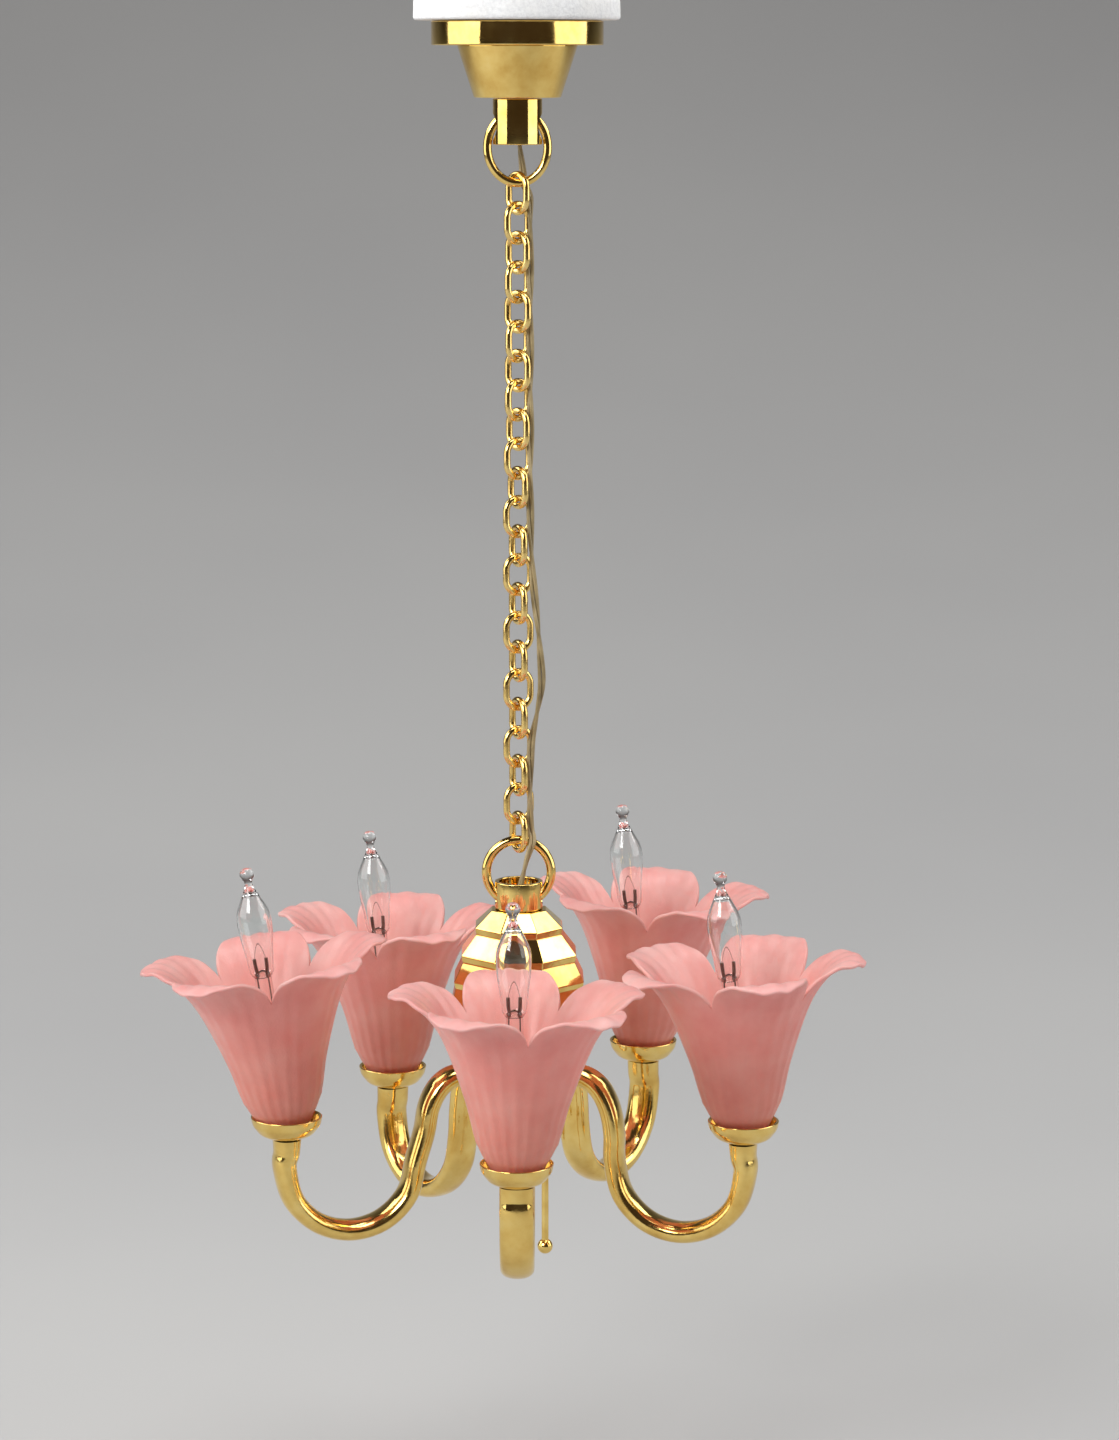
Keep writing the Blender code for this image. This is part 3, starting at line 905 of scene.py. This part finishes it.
GLASS_WALL = 0.14
HOLLOW_TOP = 22.9  # the envelope's hollow ends here, below its solid ball tip
HOLLOW_LEAST = 0.12  # and where it would be narrower than this
HOLLOW_CLOSE = 0.25  # how far above its last ring the hollow comes to a point
STEM_OUTLINE = ((0.0, 15.6), (0.75, 15.3), (0.82, 14.4), (0.8, 7.85), (0.0, 7.85))
LEAD_FOOT = ((0.35, 8.2), (0.36, 15.0))  # (distance from the middle, height) of the fine lower lead
LEAD_STROKE = ((0.36, 14.9), (0.52, 15.7), (0.56, 16.7))  # and of the stout upper one
LEAD_FINE = 0.05  # radii of the leads and the filament
LEAD_STOUT = 0.17
FILAMENT = 0.018
FILAMENT_SPAN = 1.12  # between the leads' tops
FILAMENT_FOOT = 16.65  # height of its ends
FILAMENT_ARCH = 1.5  # how far its middle is above them
COIL_RADIUS = 0.07
COIL_TURNS = 12
COIL_STEPS = 120
BULB_OUTLINE = (  # (radius, height above the point that the bulb leans about)
    (0.0, 25.48),
    (0.42, 25.38),
    (0.66, 25.0),
    (0.66, 24.65),
    (0.44, 24.25),
    (0.36, 23.9),
    (0.56, 23.3),
    (1.02, 22.4),
    (1.5, 21.3),
    (1.64, 20.3),
    (1.58, 19.0),
    (1.36, 17.3),
    (1.22, 16.0),
    (1.1, 15.3),
    (0.8, 14.9),
)


def bulb_meshes():
    """A hollow flame-shaped envelope drawn to a ball tip, and the solid stem that pinches its leads."""
    outer = [Vector(p) for p in BULB_OUTLINE]
    outside = smooth_path(outer, 4)
    inside = []
    for n, point in enumerate(outside):
        step = outside[min(n + 1, len(outside) - 1)] - outside[max(n - 1, 0)]
        inner = point + Vector((step.y, -step.x)).normalized() * GLASS_WALL
        if inner.x > HOLLOW_LEAST and inner.y < HOLLOW_TOP:
            inside.append(inner)
    top = inside[0].y + HOLLOW_CLOSE
    profile = [(p.x, p.y) for p in outside]
    profile[0] = (0.0, profile[0][1])
    profile += [(p.x, p.y) for p in reversed(inside)]
    profile.append((0.0, top))
    envelope = turned_mesh("bulb_envelope", profile, 64)
    stem = turned_mesh("bulb_stem", rounded(STEM_OUTLINE, 0.25), 40)
    return envelope, stem


def lead_mesh():
    """Two short stout leads, and a fine coiled filament arched between their tops."""
    paths = []
    for side in (-1.0, 1.0):
        foot = [Vector((side * x, 0.0, z)) for x, z in LEAD_FOOT]
        stroke = [Vector((side * x, 0.0, z)) for x, z in LEAD_STROKE]
        paths.append((foot, LEAD_FINE))
        paths.append((smooth_path(stroke, 6), LEAD_STOUT))
    coil = []
    for k in range(COIL_STEPS + 1):
        part = k / COIL_STEPS
        turn = math.tau * COIL_TURNS * part
        across = FILAMENT_SPAN * (part - 0.5)
        height = FILAMENT_FOOT + FILAMENT_ARCH * math.sin(math.pi * part)
        height += COIL_RADIUS * math.sin(turn)
        coil.append(Vector((across, COIL_RADIUS * math.cos(turn), height)))
    paths.append((coil, FILAMENT))
    bm = bmesh.new()
    for path, radius in paths:
        rows = tube_rows([p * MM for p in path], radius * MM, 8)
        rings = [[bm.verts.new(p) for p in row] for row in rows]
        add_skin(bm, rings)
        bm.faces.new(rings[0])
        bm.faces.new(rings[-1])
    return finished_mesh(bm, "bulb_leads")


# A closed profile that starts and ends in the middle of the bore.
SOCKET_OUTLINE = ((1.0, 5.0), (1.0, 10.8), (1.7, 10.8), (1.7, 0.06), (1.0, 0.06), (1.0, 5.0 - SEAM))

# Degrees that each shade leans towards +X, and that its petals are turned by.
SHADE_LEAN = {"front": 1.0, "right": -2.5, "rear_right": 3.0, "rear_left": -1.0, "left": -6.7}
PETAL_TURN = {"front": 42.0, "right": 14.0, "rear_right": 31.0, "rear_left": 28.0, "left": 42.0}


def lamp_pieces():
    """Each arm with its cup, socket, bulb and shade."""
    bowl = turned_mesh("cup_bowl", rounded(CUP_OUTLINE, 0.3, 5), 96)
    flower = shade_mesh()
    envelope, stem = bulb_meshes()
    leads = lead_mesh()
    tube = turned_mesh("socket_tube", rounded(SOCKET_OUTLINE, 0.2), 48)
    for name in NAMES:
        middle = centre_of("cup_" + name)
        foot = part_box("cup_" + name)[0].z + CUP_DROP * MM
        reach = math.hypot(middle.x, middle.y) / MM
        direction = math.atan2(middle.y, middle.x)
        arm_piece(name, reach, direction, foot / MM - CUP_FOOT)
        place = Vector((middle.x, middle.y, foot))
        cup = ("cup_" + name,)
        add_piece("cup_bowl_" + name, bowl, cast_gold, "lamp", "gold_brass", cup, place, sharp=50)
        pivot = place + UP * PIVOT_RISE * MM
        slide = JOINTS["bulb_" + name + "_pull"]["axis"]
        bulb_lean = Matrix.Rotation(math.atan2(slide[0], slide[2]), 3, "Y")
        socket = ("socket_" + name,)
        add_piece("socket_tube_" + name, tube, ivory, "lamp", "ivory_socket", socket, pivot, bulb_lean)
        body = "bulb_" + name
        spot = (pivot, bulb_lean)
        add_piece("bulb_envelope_" + name, envelope, glass, body, "clear_glass", (body,), *spot, 0)
        add_piece("bulb_stem_" + name, stem, glass, body, "clear_glass", (), *spot)
        add_piece("bulb_leads_" + name, leads, lead, body, "clear_glass", (), *spot, 0)
        lean = Matrix.Rotation(math.radians(SHADE_LEAN[name]), 3, "Y")
        turn = Matrix.Rotation(math.radians(PETAL_TURN[name] - 90.0), 3, "Z")
        leant = flower.copy()
        leant.transform((lean @ turn).to_4x4())
        shade = ("shade_" + name,)
        add_piece("petal_shade_" + name, leant, petal, "lamp", "frosted_pink", shade, pivot, sharp=60)


# ---------------------------------------------------------------- supply wire

# The wire's way out of the rose's neck and into the body's, as points in mm.
WIRE_TOP = (
    (0.0, 1.2, -9.6),
    (0.1, 1.2, -12.5),
    (0.45, 1.05, -15.5),
    (0.6, 0.95, -17.0),
    (1.1, 0.4, -18.2),
)
WIRE_END = ((1.3, -0.9, -79.2), (0.7, -1.2, -81.2), (0.1, -1.2, -84.0), (0.0, -1.2, -85.8))
WIRE_OFFSET = 1.16  # from the chain's middle to the wire's
WIRE_QUADRANT = -45.0  # degrees from a link's own line to the corner that the wire lies in
TWISTED_LINKS = (40, 41, 42, 45, 48, 48, 46, 44, 40, 36, 32, 29)  # degrees that the top links turn by
EVEN_TWIST = 27  # and the links below them
LINK_SHARE = 0.3  # where the wire passes a link, as a share of the pitch below its joint
BULGE = 1.15  # the wire's loop away from the chain, and where along the chain it is
BULGE_PLACE = 0.74
BULGE_ABOVE = 0.14  # how far the loop spreads up and down, as shares of the chain
BULGE_BELOW = 0.06
STRAND = 0.19  # from the wire's middle to a strand's
STRAND_FILL = 0.97  # a strand's radius as a share of that, so that the strands don't touch
STRAND_TURNS = 5
STRAND_SIDES = 8


def wire_route():
    """The supply wire's middle line in mm, from the rose's neck to the body's neck."""
    top = JOINTS["link_01_swing"]["pos_m"][2] / MM - LINK_WIRE / 2.0
    pitch = link_pitch()
    route = [Vector(p) for p in WIRE_TOP]
    for k in range(1, CHAIN_LINKS):
        twist = TWISTED_LINKS[k] if k < len(TWISTED_LINKS) else EVEN_TWIST
        turn = math.radians(WIRE_QUADRANT + twist)
        share = k / CHAIN_LINKS
        spread = BULGE_ABOVE if share < BULGE_PLACE else BULGE_BELOW
        away = WIRE_OFFSET + BULGE * math.exp(-(((share - BULGE_PLACE) / spread) ** 2))
        height = top - (k + LINK_SHARE) * pitch
        route.append(Vector((away * math.cos(turn), away * math.sin(turn), height)))
    route += [Vector(p) for p in WIRE_END]
    return smooth_path(route, 10)


def wire_pieces():
    """Two fine strands side by side with a slow twist, in stretches that each reach across one joint.
    """
    path = [p * MM for p in wire_route()]
    hinges = [joint for joint in frame["joints"] if joint["type"] == "hinge"]
    pivots = [joint["pos_m"][2] for joint in hinges]
    cuts = [path[0].z + MM]
    for above, below in zip(pivots, pivots[1:]):
        cuts.append((above + below) / 2.0)
    cuts.append(path[-1].z - MM)
    lengths = [0.0]
    for a, b in zip(path, path[1:]):
        lengths.append(lengths[-1] + (b - a).length)
    strands = []
    for phase in (0.0, math.pi):
        line = []
        for n, point in enumerate(path):
            turn = math.tau * STRAND_TURNS * lengths[n] / lengths[-1] + phase
            line.append(point + Vector((math.cos(turn), math.sin(turn), 0.0)) * STRAND * MM)
        strands.append(tube_rows(line, STRAND * STRAND_FILL * MM, STRAND_SIDES))
    heights = [p.z for p in path]
    for n, joint in enumerate(hinges):
        first = min(i for i, z in enumerate(heights) if z <= cuts[n])
        last = min([i for i, z in enumerate(heights) if z <= cuts[n + 1]] or [len(path) - 1])
        bm = bmesh.new()
        for rows in strands:
            rings = [[bm.verts.new(p) for p in row] for row in rows[first : last + 1]]
            add_skin(bm, rings)
            if n == 0:
                bm.faces.new(rings[0])
            if n == len(hinges) - 1:
                bm.faces.new(rings[-1])
        mesh = finished_mesh(bm, "wire_strands")
        mesh.materials.append(insulation)
        mesh.shade_smooth()
        piece = link_object("wire_strands_" + str(n + 1).zfill(2), mesh)
        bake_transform(piece)
        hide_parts("supply_wire")


# ---------------------------------------------------------------- room, light and camera

# Lengths are in metres here, but the lens and sensor are in mm. Angles are in degrees, power in watts.
FLOOR_DROP = 0.03  # from the lowest bend to the floor
FLOOR_FRONT = -1.2
FLOOR_HALF_WIDTH = 1.8
CURVE_START = 0.15  # where the floor starts to curve up
CURVE_RADIUS = 0.8
CURVE_STEPS = 24
WALL_TOP = 1.8
CAMERA_DISTANCE = 0.3757
CAMERA_HEIGHT = -0.0061
CAMERA_PITCH = 9.3
CAMERA_YAW = 0.595
LENS = 100.0
SENSOR = 36.0
ROOM_COLOUR = (0.05, 0.038, 0.032, 1.0)
MIDDLE = (0.0, 0.0, -0.09)
ROSE = (0.0, 0.0, 0.0)
LIGHTS = (  # name, place, what it faces, size and power
    ("key_softbox", (-0.35, -0.45, 0.28), MIDDLE, (0.30, 0.30), 3.0),
    ("left_panel", (-0.46, -0.10, 0.09), ROSE, (0.50, 0.42), 1.3),
    ("right_panel", (0.46, -0.10, 0.09), ROSE, (0.50, 0.42), 1.3),
    ("top_softbox", (0.05, -0.02, 0.42), MIDDLE, (0.35, 0.30), 1.8),
    ("left_rim_softbox", (-0.40, 0.145, 0.255), MIDDLE, (0.30, 0.26), 0.75),
    ("right_rim_softbox", (0.40, 0.145, 0.255), MIDDLE, (0.30, 0.26), 0.75),
)


def backdrop():
    """A pale floor that curves up into a pale wall far behind."""
    m = Nodes("pale_floor")
    tone = m.noise(6.0, detail=3.0, roughness=0.5)
    colour = m.ramp(tone, [(0.3, (0.385, 0.385, 0.385)), (0.7, (0.41, 0.41, 0.405))])
    m.link(colour, m.shader.inputs["Base Color"])
    m.link(m.spread(tone, 0.7, 0.85), m.shader.inputs["Roughness"])
    floor = cad_low.z - FLOOR_DROP
    outline = [(FLOOR_FRONT, floor), (CURVE_START, floor)]
    for k in range(1, CURVE_STEPS + 1):
        turn = math.pi / 2.0 * k / CURVE_STEPS
        back = CURVE_START + CURVE_RADIUS * math.sin(turn)
        outline.append((back, floor + CURVE_RADIUS - CURVE_RADIUS * math.cos(turn)))
    outline.append((CURVE_START + CURVE_RADIUS, floor + WALL_TOP))
    bm = bmesh.new()
    sides = (-FLOOR_HALF_WIDTH, FLOOR_HALF_WIDTH)
    rows = [[bm.verts.new((x, y, z)) for x in sides] for y, z in outline]
    for row, after in zip(rows, rows[1:]):
        bm.faces.new((row[0], row[1], after[1], after[0]))
    mesh = finished_mesh(bm, "studio_floor", face_outward=False)
    mesh.materials.append(m.material)
    mesh.shade_smooth()
    piece = link_object("studio_floor", mesh)


def area_light(name, place, target, size, power):
    """A white rectangular softbox that faces a point."""
    data = bpy.data.lights.new(name, "AREA")
    data.shape = "RECTANGLE"
    data.size = size[0]
    data.size_y = size[1]
    data.energy = power
    light = link_object(name, data)
    light.location = place
    light.rotation_euler = (Vector(target) - Vector(place)).to_track_quat("-Z", "Y").to_euler()


def studio():
    """A dim warm room, six softboxes, and the camera at the photograph's angle."""
    world = bpy.data.worlds.new("soft_room")
    world.use_nodes = True
    background = world.node_tree.nodes["Background"]
    background.inputs["Color"].default_value = ROOM_COLOUR
    background.inputs["Strength"].default_value = 1.0
    bpy.context.scene.world = world
    for light in LIGHTS:
        area_light(*light)
    data = bpy.data.cameras.new("camera")
    data.lens = LENS
    data.sensor_width = SENSOR
    data.clip_start = 0.01
    data.clip_end = 10.0
    camera = link_object("camera", data)
    camera.location = (0.0, -CAMERA_DISTANCE, CAMERA_HEIGHT)
    camera.rotation_euler = (math.radians(90.0 - CAMERA_PITCH), 0.0, -math.radians(CAMERA_YAW))
    bpy.context.scene.camera = camera
    bpy.context.scene.view_settings.view_transform = "Standard"


ceiling_pad()
rose_pieces()
ring_piece("top_ring", "top_ring")
chain_pieces()
ring_piece("bottom_ring", "bottom_ring")
neck_piece("body_neck", "lamp", "lamp_swing", BOTTOM_RING_HOLE)
faceted_body()
hub_and_finial()
lamp_pieces()
wire_pieces()
backdrop()
studio()
